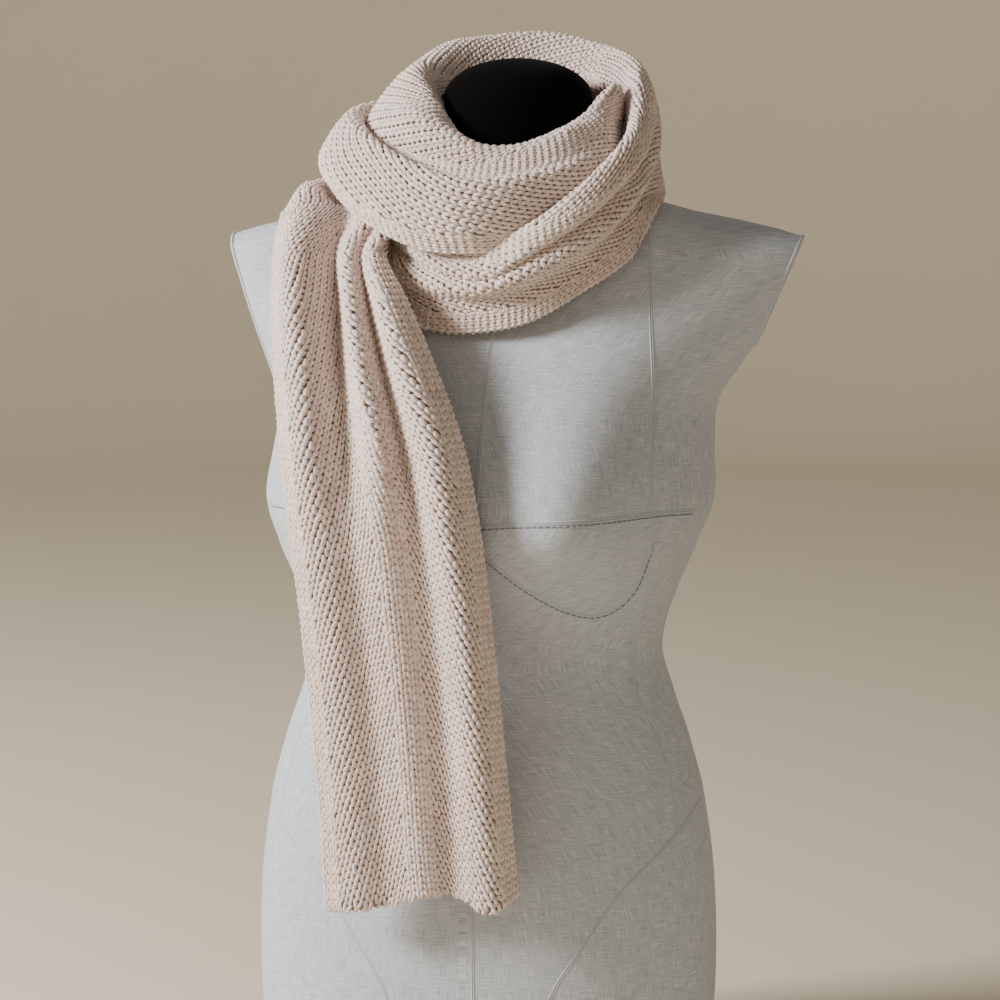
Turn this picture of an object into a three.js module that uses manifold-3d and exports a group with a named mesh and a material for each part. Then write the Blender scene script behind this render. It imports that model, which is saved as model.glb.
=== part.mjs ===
// A chunky knit scarf wound twice round the neck of a linen dress form, one tail hanging in front.
// Millimetres, +Z up, front towards -Y. The form stands on its flat bottom at the origin.
//
// The scarf is one continuous band. It starts at the hem of the tail, climbs the chest, goes over
// the left shoulder and round the back of the neck, crosses the front, passes over the top of the
// tail, goes round the back again as the collar, comes down across the right shoulder and the chest,
// and ends tucked in under the tail.
import * as THREE from "three";
import { mergeVertices } from "three/addons/utils/BufferGeometryUtils.js";
import Module from "manifold-3d";

const wasm = await Module();
wasm.setup();

// ------------------------------------------------------------------ driving dimensions

const CLOTH_THICKNESS = 3;        // wall of the knitted band
const SEAM_GAP = 0.5;             // between one stretch of the band and the next
const FORM_CLEARANCE = 2.2;       // least gap from the band's inner face to the form
const ACROSS = 18;                // facets across the band
const STEP = 14;                  // facet length along the band, at its middle
const FINE_ACROSS = 120;          // steps of the smooth curve that is measured across the band
const FINE_ALONG = 16;            // steps from one section to the next, measured along it
const NEARBY = 0.04;              // of a section: how far to look along the band for its direction

const NECK_X = 13;                // the neck's axis stands this far right of the form's origin
const LEAN = { from: 400, over: 290, low: -8, high: 21 };   // the upper body's slight lean
const RING_POWER = 2.25;          // squareness of the form's rings: 2 is an ellipse
const RING_FACETS = 52;
const RING_STEPS = [{ to: 400, step: 34 }, { to: 590, step: 24 }, { to: 690, step: 9 }];
const PROBE = 0.5;                // step that measures which way the form's surface faces
const PUSH = { passes: 6, most: 4 };   // moves that bring a point of the cloth clear of the form
const BUST = { side: 74, height: 437, depth: 52, spread: 48, up: 60, down: 38 };
// The plane that cuts each arm stump flat, its slope less at the left, and how far it reaches down.
const ARM_PLATE = { x: 203, z: 629, slope: 0.38, lean: 0.045, down: 123 };
const PLATE_CUT = 200;            // size of the block that is cut away beyond each arm plate
const CAP = { radius: 52.5, bottom: 690.3, wall: 727, dome: 28, facets: 44, steps: 8 };

// Rings of the form: height, half width, front depth, back depth, and the ring's shift in y.
const FORM_RINGS = [
  { z: 0, half: 158, front: 100, back: 104, shift: -6 },
  { z: 60, half: 165, front: 108, back: 112, shift: -6 },
  { z: 120, half: 167, front: 110, back: 115, shift: -6 },
  { z: 180, half: 164, front: 108, back: 110, shift: -6 },
  { z: 235, half: 156, front: 102, back: 98, shift: -6 },
  { z: 275, half: 145, front: 96, back: 86, shift: -6 },
  { z: 310, half: 133, front: 91, back: 78, shift: -5 },
  { z: 338, half: 126, front: 88, back: 74, shift: -5 },
  { z: 372, half: 134, front: 90, back: 76, shift: -4 },
  { z: 418, half: 152, front: 97, back: 84, shift: -3 },
  { z: 446, half: 161, front: 100, back: 88, shift: -2 },
  { z: 482, half: 158, front: 101, back: 92, shift: 0 },
  { z: 515, half: 157, front: 97, back: 94, shift: 2 },
  { z: 540, half: 170, front: 91, back: 93, shift: 3 },
  { z: 562, half: 184, front: 85, back: 92, shift: 4 },
  { z: 600, half: 207, front: 70, back: 84, shift: 6 },
  { z: 624, half: 218, front: 58, back: 76, shift: 7 },
  { z: 638, half: 178, front: 50, back: 70, shift: 6 },
  { z: 648, half: 126, front: 48, back: 66, shift: 4 },
  { z: 660, half: 84, front: 49, back: 60, shift: 3 },
  { z: 674, half: 58, front: 50, back: 56, shift: 2 },
  { z: 690, half: 50, front: 50, back: 51, shift: 0 },
];

// Seven lines run the whole length of the band, from its neck-side edge to its hem-side edge:
// edge, roll, shoulder, valley, crest, belly, hem. Each row below is one section through them.

// The tail hangs: height, then x, y of the seven lines, edge to hem.
const TAIL_ROWS = [
  [172, [32, -138], [13, -150], [-12, -139], [-33, -147], [-57, -141], [-80, -147], [-102, -137]],
  [240, [26, -138], [9, -154], [-15, -141], [-38, -150], [-61, -143], [-84, -149], [-105, -138]],
  [310, [19, -138], [3, -158], [-20, -143], [-45, -153], [-67, -145], [-89, -151], [-111, -139]],
  [380, [12, -140], [-3, -163], [-27, -147], [-52, -157], [-74, -148], [-96, -155], [-117, -141]],
  [440, [5, -142], [-12, -168], [-34, -150], [-58, -162], [-80, -150], [-104, -158], [-124, -142]],
  [495, [-6, -140], [-24, -160], [-48, -141], [-62, -159], [-88, -133], [-110, -155], [-131, -134]],
  [545, [-27, -124], [-45, -142], [-64, -118], [-76, -140], [-96, -104], [-117, -136], [-140, -110]],
  [590, [-50, -105], [-64, -118], [-78, -95], [-88, -114], [-103, -76], [-126, -113], [-146, -86]],
  [622, [-69, -82], [-77, -89], [-85, -77], [-95, -85], [-107, -59], [-131, -84], [-149, -62]],
  [645, [-58, -64], [-66, -68], [-74, -56], [-84, -62], [-100, -42], [-128, -64], [-147, -50]],
];
const HEM_LIFT = [14, 4, 14, 13, 6, 2, -1];   // the cast-off hem waves up and down

// The turns go round the neck: angle (0 is the front, it falls as the band goes round by the left
// shoulder, the back and the right shoulder), then distance from the neck's axis and height.
const TURN_ROWS = [
  // innermost: over the shoulder and round the back
  [-76, [88, 658], [94, 664], [100, 656], [108, 660], [124, 649], [150, 663], [166, 642]],
  [-92, [84, 662], [92, 672], [100, 661], [110, 666], [126, 654], [146, 666], [160, 648]],
  [-116, [64, 682], [71, 704], [80, 692], [92, 694], [106, 674], [126, 674], [142, 652]],
  [-145, [57, 686], [60, 720], [69, 708], [74, 700], [84, 684], [98, 674], [110, 654]],
  [-180, [56, 684], [60, 720], [68, 710], [70, 698], [78, 684], [88, 672], [98, 652]],
  [-215, [56, 684], [60, 720], [67, 710], [68, 698], [74, 684], [81, 670], [90, 650]],
  [-245, [56, 686], [60, 720], [66, 712], [68, 698], [72, 684], [77, 669], [84, 650]],
  // round the front, as a roll above and a broad lower part
  [-270, [56, 694], [69, 734], [72, 722], [71, 706], [73, 690], [76, 674], [78, 654]],
  [-287, [57, 688], [67, 730], [71, 721], [73, 706], [76, 691], [78, 672], [78, 652]],
  [-305, [56, 680], [61, 712], [70, 712], [79, 701], [83, 686], [83, 666], [80, 646]],
  [-328, [57, 670], [60, 697], [74, 704], [83, 687], [90, 678], [87, 652], [80, 634]],
  [-352, [56, 662], [59, 682], [74, 694], [87, 676], [98, 672], [97, 648], [89, 626]],
  [-372, [56, 662], [60, 682], [78, 694], [92, 672], [107, 670], [111, 644], [102, 624]],
  [-390, [56, 676], [62, 696], [83, 704], [95, 675], [111, 679], [118, 648], [109, 626]],
  [-408, [56, 700], [66, 717], [90, 714], [97, 682], [114, 692], [127, 660], [120, 640]],
  [-425, [56, 718], [70, 732], [97, 714], [102, 690], [115, 704], [135, 676], [127, 656]],
  // outermost: round the left and the back as the collar
  [-445, [56, 726], [74, 744], [102, 716], [104, 696], [117, 716], [138, 688], [131, 671]],
  [-470, [56, 728], [74, 752], [98, 734], [104, 706], [114, 722], [134, 696], [128, 682]],
  [-500, [57, 730], [73, 764], [93, 760], [104, 734], [111, 722], [126, 693], [124, 674]],
  [-540, [57, 731], [71, 758], [85, 772], [99, 750], [107, 722], [113, 692], [116, 664]],
  [-575, [58, 730], [72, 752], [84, 764], [95, 748], [102, 726], [107, 696], [111, 666]],
  [-605, [73, 733], [79, 747], [87, 752], [95, 736], [99, 716], [101, 692], [104, 664]],
  // down over the right shoulder and low across the chest, its top edge folded under
  [-630, [77, 706], [83, 736], [92, 728], [95, 716], [99, 700], [95, 680], [102, 654]],
  [-648, [84, 688], [90, 715], [100, 702], [94, 691], [101, 677], [93, 661], [103, 640]],
  [-665, [91, 670], [100, 698], [108, 683], [99, 673], [106, 659], [94, 643], [103, 617]],
  [-685, [96, 647], [105, 672], [111, 656], [101, 647], [108, 634], [94, 620], [94, 596]],
  [-705, [96, 624], [102, 645], [108, 631], [100, 625], [106, 614], [93, 602], [91, 578]],
  [-724, [86, 604], [95, 619], [102, 609], [96, 607], [102, 600], [92, 591], [90, 570]],
  // tucked in under the tail
  [-745, [86, 606], [91, 624], [98, 614], [93, 608], [101, 600], [94, 590], [95, 568]],
  [-765, [84, 616], [90, 640], [98, 629], [95, 619], [103, 610], [99, 596], [107, 574]],
  [-785, [84, 630], [87, 646], [95, 640], [98, 632], [108, 630], [112, 618], [122, 604]],
];

// The stretches of the band, each from one section to another, counted from the tail's hem.
const STRETCHES = [
  { name: "tail", from: 0, to: 10.6 },
  { name: "back_turn", from: 10.6, to: 16 },
  { name: "front_turn", from: 16, to: 26.5 },
  { name: "collar_turn", from: 26.5, to: 31.5 },
  { name: "outer_turn", from: 31.5, to: 37.5 },
  { name: "tucked_end", from: 37.5, to: 40 },
];

const LINEN = new THREE.MeshStandardMaterial({ color: 0xb4b8bf, roughness: 0.9, metalness: 0 });
const WOOL = new THREE.MeshStandardMaterial({ color: 0xcbb5a8, roughness: 0.95, metalness: 0 });
const CAP_BLACK = new THREE.MeshStandardMaterial({ color: 0x0b0b0c, roughness: 0.85, metalness: 0 });

// ------------------------------------------------------------------ helpers

const radians = THREE.MathUtils.degToRad;

// One value of a smooth curve through evenly counted knots (Catmull-Rom, straight past the ends).
function smooth(knots, at) {
  const last = knots.length - 1;
  const i = Math.min(Math.max(Math.floor(at), 0), last - 1);
  const f = Math.min(Math.max(at - i, 0), 1);
  const b = knots[i];
  const c = knots[i + 1];
  const a = i > 0 ? knots[i - 1] : 2 * b - c;
  const d = i + 2 <= last ? knots[i + 2] : 2 * c - b;
  const cubic = (3 * b - a - 3 * c + d) * f ** 3;
  return 0.5 * (2 * b + (c - a) * f + (2 * a - 5 * b + 4 * c - d) * f ** 2 + cubic);
}

// The same for points: each coordinate is its own smooth curve.
function smoothPoint(points, at) {
  const along = (axis) => smooth(points.map((p) => p[axis]), at);
  return new THREE.Vector3(along("x"), along("y"), along("z"));
}

function geometryFrom(points, triangles) {
  const geometry = new THREE.BufferGeometry();
  geometry.setAttribute("position", new THREE.Float32BufferAttribute(points.flat(), 3));
  geometry.setIndex(triangles.flat());
  return geometry;
}

// A closed body through rings of equal point counts, bottom ring first, capped at both ends.
function loft(rings) {
  const count = rings[0].length;
  const points = rings.flat();
  const triangles = [];
  for (let r = 0; r + 1 < rings.length; r += 1) {
    for (let i = 0; i < count; i += 1) {
      const a = r * count + i;
      const b = r * count + (i + 1) % count;
      triangles.push([a, b, b + count], [a, b + count, a + count]);
    }
  }
  for (const [ring, flip] of [[0, true], [rings.length - 1, false]]) {
    const middle = points.length;
    const sum = rings[ring].reduce((s, p) => s.map((v, k) => v + p[k]), [0, 0, 0]);
    points.push(sum.map((v) => v / count));
    for (let i = 0; i < count; i += 1) {
      const a = ring * count + i;
      const b = ring * count + (i + 1) % count;
      triangles.push(flip ? [b, a, middle] : [a, b, middle]);
    }
  }
  return geometryFrom(points, triangles);
}

function solid(geometry) {
  const bare = geometry.clone();
  bare.deleteAttribute("normal");
  bare.deleteAttribute("uv");
  const merged = mergeVertices(bare, 1e-4);
  return new wasm.Manifold(new wasm.Mesh({
    numProp: 3,
    vertProperties: Float32Array.from(merged.attributes.position.array),
    triVerts: Uint32Array.from(merged.index.array),
  }));
}

function geometryOf(manifold) {
  const mesh = manifold.getMesh();
  const geometry = new THREE.BufferGeometry();
  geometry.setAttribute("position", new THREE.BufferAttribute(mesh.vertProperties, 3));
  geometry.setIndex(new THREE.BufferAttribute(mesh.triVerts, 1));
  return geometry;
}

// ------------------------------------------------------------------ the dress form

function lean(z) {
  const t = THREE.MathUtils.clamp((z - LEAN.from) / LEAN.over, 0, 1);
  return LEAN.low + LEAN.high * t * t * (3 - 2 * t);
}

// The form's ring at a height, smooth between the rows.
function formRing(z) {
  const top = FORM_RINGS.length - 1;
  let row = FORM_RINGS.findIndex((ring) => ring.z > z) - 1;
  if (row < 0) row = z < 0 ? 0 : top - 1;
  const span = FORM_RINGS[row + 1].z - FORM_RINGS[row].z;
  const at = THREE.MathUtils.clamp(row + (z - FORM_RINGS[row].z) / span, 0, top);
  const value = (key) => smooth(FORM_RINGS.map((ring) => ring[key]), at);
  return { half: value("half"), front: value("front"), back: value("back"), shift: value("shift") };
}

// How far the bust lobes stand out of the ring at x, z, measured from the form's middle.
function bustDepth(x, z) {
  const rise = z - BUST.height;
  const tall = rise > 0 ? BUST.up : BUST.down;
  const lobe = (side) => Math.exp(-((x - side * BUST.side) ** 2) / (2 * BUST.spread ** 2)
    - rise ** 2 / (2 * tall ** 2));
  return BUST.depth * (lobe(-1) + lobe(1));
}

function formPoint(z, angle) {
  const ring = formRing(z);
  const s = Math.sin(angle);
  const k = -Math.cos(angle);
  const m = (Math.abs(s) ** RING_POWER + Math.abs(k) ** RING_POWER) ** (-1 / RING_POWER);
  const x = ring.half * s * m;
  const depth = k < 0 ? ring.front : ring.back;
  const bust = k < 0 ? bustDepth(x, z) * Math.sqrt(-k * m) : 0;
  return [x + lean(z), depth * k * m + ring.shift - bust, z];
}

// Ring heights: close together where the outline turns quickly.
function formHeights() {
  const heights = [];
  let from = 0;
  for (const { to, step } of RING_STEPS) {
    for (let z = from; z < to; z += step) heights.push(z);
    from = to;
  }
  return [...heights, from];
}

function torso() {
  const rings = formHeights().map((z) => Array.from({ length: RING_FACETS }, (_, i) =>
    formPoint(z, (i / RING_FACETS) * 2 * Math.PI)));
  let body = solid(loft(rings));
  for (const side of [-1, 1]) {
    const block = new THREE.BoxGeometry(PLATE_CUT, 2 * PLATE_CUT, 2 * ARM_PLATE.down);
    block.translate(PLATE_CUT / 2, 0, 0);
    block.rotateY(Math.atan(ARM_PLATE.slope + side * ARM_PLATE.lean));
    if (side < 0) block.rotateZ(Math.PI);
    block.translate(lean(ARM_PLATE.z) + side * ARM_PLATE.x, 0, ARM_PLATE.z);
    body = body.subtract(solid(block));
  }
  return geometryOf(body);
}

// The black cap that closes the neck: a short wall and a low dome.
function neckCap() {
  const profile = [new THREE.Vector2(0, CAP.bottom), new THREE.Vector2(CAP.radius, CAP.bottom)];
  for (let i = 0; i < CAP.steps; i += 1) {
    const turn = (i / CAP.steps) * (Math.PI / 2);
    profile.push(new THREE.Vector2(CAP.radius * Math.cos(turn), CAP.wall + CAP.dome * Math.sin(turn)));
  }
  profile.push(new THREE.Vector2(0, CAP.wall + CAP.dome));
  const cap = new THREE.LatheGeometry(profile, CAP.facets);
  cap.rotateX(Math.PI / 2);
  cap.translate(NECK_X, 0, 0);
  return cap;
}

// ------------------------------------------------------------------ the scarf

// The sections of the band as points, hem of the tail first.
function bandSections() {
  const tail = TAIL_ROWS.map(([z, ...lines], row) => lines.map(([x, y], line) =>
    new THREE.Vector3(x, y, z + (row === 0 ? HEM_LIFT[line] : 0))));
  const turns = TURN_ROWS.map(([angle, ...lines]) => lines.map(([r, z]) =>
    new THREE.Vector3(NECK_X + r * Math.sin(radians(angle)), -r * Math.cos(radians(angle)), z)));
  return [...tail, ...turns];
}

const SECTIONS = bandSections();

// One row of points across the band, evenly spaced along the cloth.
function rowAcross(at) {
  const lines = SECTIONS[0].map((_, line) => smoothPoint(SECTIONS.map((s) => s[line]), at));
  const fine = Array.from({ length: FINE_ACROSS + 1 }, (_, i) =>
    smoothPoint(lines, (i / FINE_ACROSS) * (lines.length - 1)));
  const curve = new THREE.CatmullRomCurve3(fine);
  curve.arcLengthDivisions = 4 * FINE_ACROSS;
  return Array.from({ length: ACROSS + 1 }, (_, i) => clearOfForm(curve.getPointAt(i / ACROSS)));
}

// Below 0 inside the form, above 0 outside it.
function formLevel(p) {
  const ring = formRing(Math.min(p.z, FORM_RINGS.at(-1).z));
  const x = p.x - lean(p.z);
  const reach = Math.abs(p.y - ring.shift) / ring.front;
  const front = p.y < ring.shift;
  const y = p.y - ring.shift + (front ? bustDepth(x, p.z) * Math.sqrt(Math.min(reach, 1)) : 0);
  const depth = front ? ring.front : ring.back;
  const level = Math.abs(x / ring.half) ** RING_POWER + Math.abs(y / depth) ** RING_POWER;
  return level ** (1 / RING_POWER) - 1;
}

// Moves a point that lies too near the form straight out from the form's surface.
function clearOfForm(point) {
  const need = CLOTH_THICKNESS / 2 + FORM_CLEARANCE;
  const p = point.clone();
  for (let pass = 0; pass < PUSH.passes; pass += 1) {
    const level = formLevel(p);
    const slope = new THREE.Vector3(
      formLevel(p.clone().setX(p.x + PROBE)) - level,
      formLevel(p.clone().setY(p.y + PROBE)) - level,
      formLevel(p.clone().setZ(p.z + PROBE)) - level,
    ).divideScalar(PROBE);
    const distance = level / slope.length();
    if (distance >= need) break;
    p.addScaledVector(slope.normalize(), Math.min(need - distance, PUSH.most));
  }
  return p;
}

// Sections from one count to another, about STEP apart at the middle line, trimmed at the seams.
function rowsAlong(from, to) {
  const centre = (SECTIONS[0].length - 1) / 2;
  const middle = (at) => smoothPoint(SECTIONS.map((s) => s[centre]), at);
  const samples = Math.ceil((to - from) * FINE_ALONG);
  const path = Array.from({ length: samples + 1 }, (_, i) => middle(from + ((to - from) * i) / samples));
  const lengths = [0];
  for (let i = 1; i < path.length; i += 1) lengths.push(lengths[i - 1] + path[i].distanceTo(path[i - 1]));
  const total = lengths.at(-1);
  const count = Math.round(total / STEP);
  const start = from > 0 ? SEAM_GAP / 2 : 0;
  const stop = to < SECTIONS.length - 1 ? total - SEAM_GAP / 2 : total;
  return Array.from({ length: count + 1 }, (_, i) => {
    const length = start + ((stop - start) * i) / count;
    let k = lengths.findIndex((l) => l >= length);
    k = Math.max(k, 1);
    const part = (length - lengths[k - 1]) / (lengths[k] - lengths[k - 1]);
    return surfaceRow(from + ((to - from) * (k - 1 + part)) / samples);
  });
}

// A row of points with the cloth's normal at each.
function surfaceRow(at) {
  const points = rowAcross(at);
  const before = rowAcross(at - NEARBY);
  const after = rowAcross(at + NEARBY);
  const last = points.length - 1;
  const normals = points.map((_, c) => {
    const across = points[Math.min(c + 1, last)].clone().sub(points[Math.max(c - 1, 0)]);
    return after[c].clone().sub(before[c]).cross(across).normalize();
  });
  return { points, normals };
}

// The band's wall: the middle surface moved out and in by half the thickness, and closed all round.
function wall(rows) {
  const high = rows.length;
  const wide = ACROSS + 1;
  const points = [];
  for (const side of [CLOTH_THICKNESS / 2, -CLOTH_THICKNESS / 2]) {
    for (const row of rows) {
      row.points.forEach((p, c) => points.push(p.clone().addScaledVector(row.normals[c], side).toArray()));
    }
  }
  const back = high * wide;
  const triangles = [];
  for (let r = 0; r + 1 < high; r += 1) {
    for (let c = 0; c + 1 < wide; c += 1) {
      const a = r * wide + c;
      const [b, d, e] = [a + 1, a + wide, a + wide + 1];
      triangles.push([a, d, e], [a, e, b], [a + back, e + back, d + back], [a + back, b + back, e + back]);
    }
  }
  const rim = [];
  for (let c = 0; c + 1 < wide; c += 1) rim.push([c, c + 1], [back - 1 - c, back - 2 - c]);
  for (let r = 0; r + 1 < high; r += 1) {
    rim.push([(r + 1) * wide, r * wide], [(r + 1) * wide - 1, (r + 2) * wide - 1]);
  }
  for (const [a, b] of rim) triangles.push([a, b, b + back], [a, b + back, a + back]);
  return geometryFrom(points, triangles);
}

// ------------------------------------------------------------------ the scene graph

function add(group, name, geometry, material) {
  const mesh = new THREE.Mesh(geometry, material);
  mesh.name = name;
  group.add(mesh);
}

const part = new THREE.Group();
add(part, "torso", torso(), LINEN);
add(part, "neck_cap", neckCap(), CAP_BLACK);
for (const { name, from, to } of STRETCHES) add(part, name, wall(rowsAlong(from, to)), WOOL);

export default part;
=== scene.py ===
"""A chunky knit scarf wound round a linen dress form, laid out as a Blender add-on and run as a script.

Every size is in millimetres until the mesh is made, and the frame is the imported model's: +Z up, front
towards -Y, the form's flat bottom on the floor.
"""
import functools
import math

import bmesh
import bpy
import numpy as np
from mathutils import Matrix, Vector


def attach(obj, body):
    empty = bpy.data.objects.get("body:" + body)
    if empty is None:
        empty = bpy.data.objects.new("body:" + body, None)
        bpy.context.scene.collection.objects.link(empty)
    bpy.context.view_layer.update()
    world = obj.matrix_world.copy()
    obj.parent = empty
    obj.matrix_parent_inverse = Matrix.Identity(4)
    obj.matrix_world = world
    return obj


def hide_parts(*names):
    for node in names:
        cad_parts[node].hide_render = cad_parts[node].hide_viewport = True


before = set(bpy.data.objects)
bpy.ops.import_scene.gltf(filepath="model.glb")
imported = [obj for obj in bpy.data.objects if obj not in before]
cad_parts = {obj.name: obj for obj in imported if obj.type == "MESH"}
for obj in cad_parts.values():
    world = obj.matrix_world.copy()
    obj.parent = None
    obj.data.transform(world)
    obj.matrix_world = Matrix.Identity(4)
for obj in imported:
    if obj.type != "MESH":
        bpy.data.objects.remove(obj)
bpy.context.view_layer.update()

bl_info = {
    "name": "Knit scarf on dress form",
    "version": (1, 0, 0),
    "blender": (4, 5, 0),
    "location": "View3D > Sidebar > Scarf",
    "description": "Makes a chunky knit scarf, stitch by stitch, on a linen dress form",
    "category": "Add Mesh",
}

MM = 0.001
ROOT = "root"

# ------------------------------------------------------------------ the band's sections

# Seven lines run the whole length of the band, from its neck-side edge to its hem-side edge:
# edge, roll, shoulder, valley, crest, belly, hem. Each row is one section through them.

# The tail hangs: height, then x, y of the seven lines.
TAIL_ROWS = (
    (172, (32, -138), (13, -150), (-12, -139), (-33, -147), (-57, -141), (-80, -147), (-102, -137)),
    (240, (26, -138), (9, -154), (-15, -141), (-38, -150), (-61, -143), (-84, -149), (-105, -138)),
    (310, (19, -138), (3, -158), (-20, -143), (-45, -153), (-67, -145), (-89, -151), (-111, -139)),
    (380, (12, -140), (-3, -163), (-27, -147), (-52, -157), (-74, -148), (-96, -155), (-117, -141)),
    (440, (5, -142), (-12, -168), (-34, -150), (-58, -162), (-80, -150), (-104, -158), (-124, -142)),
    (495, (-6, -140), (-24, -160), (-48, -141), (-62, -159), (-88, -133), (-110, -155), (-131, -134)),
    (545, (-27, -124), (-45, -142), (-64, -118), (-76, -140), (-96, -104), (-117, -136), (-140, -110)),
    (590, (-50, -105), (-64, -118), (-78, -95), (-88, -114), (-103, -76), (-126, -113), (-146, -86)),
    (622, (-69, -82), (-77, -89), (-85, -77), (-95, -85), (-107, -59), (-131, -84), (-149, -62)),
    (645, (-58, -64), (-66, -68), (-74, -56), (-84, -62), (-100, -42), (-128, -64), (-147, -50)),
)

HEM_LIFT = (14, 4, 14, 13, 6, 2, -1)   # the cast-off hem waves up and down

# The turns go round the neck: angle (0 is the front, it falls as the band goes round by the left
# shoulder, the back and the right shoulder), then distance from the neck's axis and height.
TURN_ROWS = (
    # innermost: over the shoulder and round the back
    (-76, (88, 658), (94, 664), (100, 656), (108, 660), (124, 649), (150, 663), (166, 642)),
    (-92, (84, 662), (92, 672), (100, 661), (110, 666), (126, 654), (146, 666), (160, 648)),
    (-116, (64, 682), (71, 704), (80, 692), (92, 694), (106, 674), (126, 674), (142, 652)),
    (-145, (57, 686), (60, 720), (69, 708), (74, 700), (84, 684), (98, 674), (110, 654)),
    (-180, (56, 684), (60, 720), (68, 710), (70, 698), (78, 684), (88, 672), (98, 652)),
    (-215, (56, 684), (60, 720), (67, 710), (68, 698), (74, 684), (81, 670), (90, 650)),
    (-245, (56, 686), (60, 720), (66, 712), (68, 698), (72, 684), (77, 669), (84, 650)),
    # round the front, as a roll above and a broad lower part
    (-270, (56, 694), (69, 734), (72, 722), (71, 706), (73, 690), (76, 674), (78, 654)),
    (-287, (57, 688), (67, 730), (71, 721), (73, 706), (76, 691), (78, 672), (78, 652)),
    (-305, (56, 680), (61, 712), (70, 712), (79, 701), (83, 686), (83, 666), (80, 646)),
    (-328, (57, 670), (60, 697), (74, 704), (83, 687), (90, 678), (87, 652), (80, 634)),
    (-352, (56, 662), (59, 682), (74, 694), (87, 676), (98, 672), (97, 648), (89, 626)),
    (-372, (56, 662), (60, 682), (78, 694), (92, 672), (107, 670), (111, 644), (102, 624)),
    (-390, (56, 676), (62, 696), (83, 704), (95, 675), (111, 679), (118, 648), (109, 626)),
    (-408, (56, 700), (66, 717), (90, 714), (97, 682), (114, 692), (127, 660), (120, 640)),
    (-425, (56, 718), (70, 732), (97, 714), (102, 690), (115, 704), (135, 676), (127, 656)),
    # outermost: round the left and the back as the collar
    (-445, (56, 726), (74, 744), (102, 716), (104, 696), (117, 716), (138, 688), (131, 671)),
    (-470, (56, 728), (74, 752), (98, 734), (104, 706), (114, 722), (134, 696), (128, 682)),
    (-500, (57, 730), (73, 764), (93, 760), (104, 734), (111, 722), (126, 693), (124, 674)),
    (-540, (57, 731), (71, 758), (85, 772), (99, 750), (107, 722), (113, 692), (116, 664)),
    (-575, (58, 730), (72, 752), (84, 764), (95, 748), (102, 726), (107, 696), (111, 666)),
    (-605, (73, 733), (79, 747), (87, 752), (95, 736), (99, 716), (101, 692), (104, 664)),
    # down over the right shoulder and low across the chest, its top edge folded under
    (-630, (77, 706), (83, 736), (92, 728), (95, 716), (99, 700), (95, 680), (102, 654)),
    (-648, (84, 688), (90, 715), (100, 702), (94, 691), (101, 677), (93, 661), (103, 640)),
    (-665, (91, 670), (100, 698), (108, 683), (99, 673), (106, 659), (94, 643), (103, 617)),
    (-685, (96, 647), (105, 672), (111, 656), (101, 647), (108, 634), (94, 620), (94, 596)),
    (-705, (96, 624), (102, 645), (108, 631), (100, 625), (106, 614), (93, 602), (91, 578)),
    (-724, (86, 612), (93, 629), (102, 609), (96, 607), (102, 600), (92, 591), (90, 570)),
    # tucked in under the tail
    (-745, (86, 612), (91, 631), (98, 614), (93, 608), (101, 600), (94, 590), (95, 568)),
    (-765, (84, 616), (90, 640), (98, 629), (95, 619), (103, 610), (99, 596), (107, 574)),
    (-785, (84, 630), (87, 646), (95, 640), (98, 632), (108, 630), (112, 618), (122, 604)),
)

# The stretches of the band: the sections each runs between, counted from the tail's hem, the width
# that shows, the pieces it lies on, and which of its two ends is a loose end of the band.
STRETCHES = {
    "tail": dict(first=0, last=10.6, width=155, on=("torso_linen", "tucked_end_ground"), loose="first"),
    "back_turn": dict(first=10.6, last=16, width=130, on=("torso_linen",), loose=""),
    "front_turn": dict(first=16, last=26.5, width=145, on=("torso_linen", "back_turn_ground"), loose=""),
    "collar_turn": dict(
        first=26.5, last=31.5, width=155, on=("back_turn_ground", "front_turn_ground"), loose=""),
    "outer_turn": dict(first=31.5, last=37.5, width=135, on=("torso_linen", "front_turn_ground"), loose=""),
    "tucked_end": dict(
        first=37.5, last=40, width=105, on=("torso_linen", "front_turn_ground"), loose="last"),
}

NECK_X = 13                    # the neck's axis stands this far right of the form's origin
BAND_WIDTH = 155               # across the flat band
LEAST_SQUEEZE = 0.88           # the knit's stitches close up this far where the band is drawn narrow
SEAM_GAP = 0.3                 # between two stretches of the band
CLOTH_CLEARANCE = 3.7          # from the band's middle surface to the form

# ------------------------------------------------------------------ the dress form

# Rings of the form: height, half width, front depth, back depth, and the ring's shift in y.
FORM_RINGS = (
    (0, 158, 100, 104, -6),
    (60, 165, 108, 112, -6),
    (120, 167, 110, 115, -6),
    (180, 164, 108, 110, -6),
    (235, 156, 102, 98, -6),
    (275, 145, 96, 86, -6),
    (310, 133, 91, 78, -5),
    (338, 126, 88, 74, -5),
    (372, 134, 90, 76, -4),
    (418, 152, 97, 84, -3),
    (446, 161, 100, 88, -2),
    (482, 158, 101, 92, 0),
    (515, 157, 97, 94, 2),
    (540, 170, 91, 93, 3),
    (562, 184, 85, 92, 4),
    (600, 207, 70, 84, 6),
    (624, 218, 58, 76, 7),
    (638, 178, 50, 70, 6),
    (648, 126, 48, 66, 4),
    (660, 84, 49, 60, 3),
    (674, 58, 50, 56, 2),
    (690, 50, 50, 51, 0),
)

LEFT, RIGHT = -1, 1
RING_POWER = 2.25              # squareness of the rings: 2 is an ellipse
# The rings' middles lean to the right as the form rises: from LEAN_LOW at the height LEAN_FROM, they
# shift by LEAN_SHIFT over the next LEAN_RISE.
LEAN_FROM, LEAN_RISE, LEAN_LOW, LEAN_SHIFT = 400, 290, -8, 21
BUST = dict(side=74, height=437, depth=52, spread=48, up=60, down=38)
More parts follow.
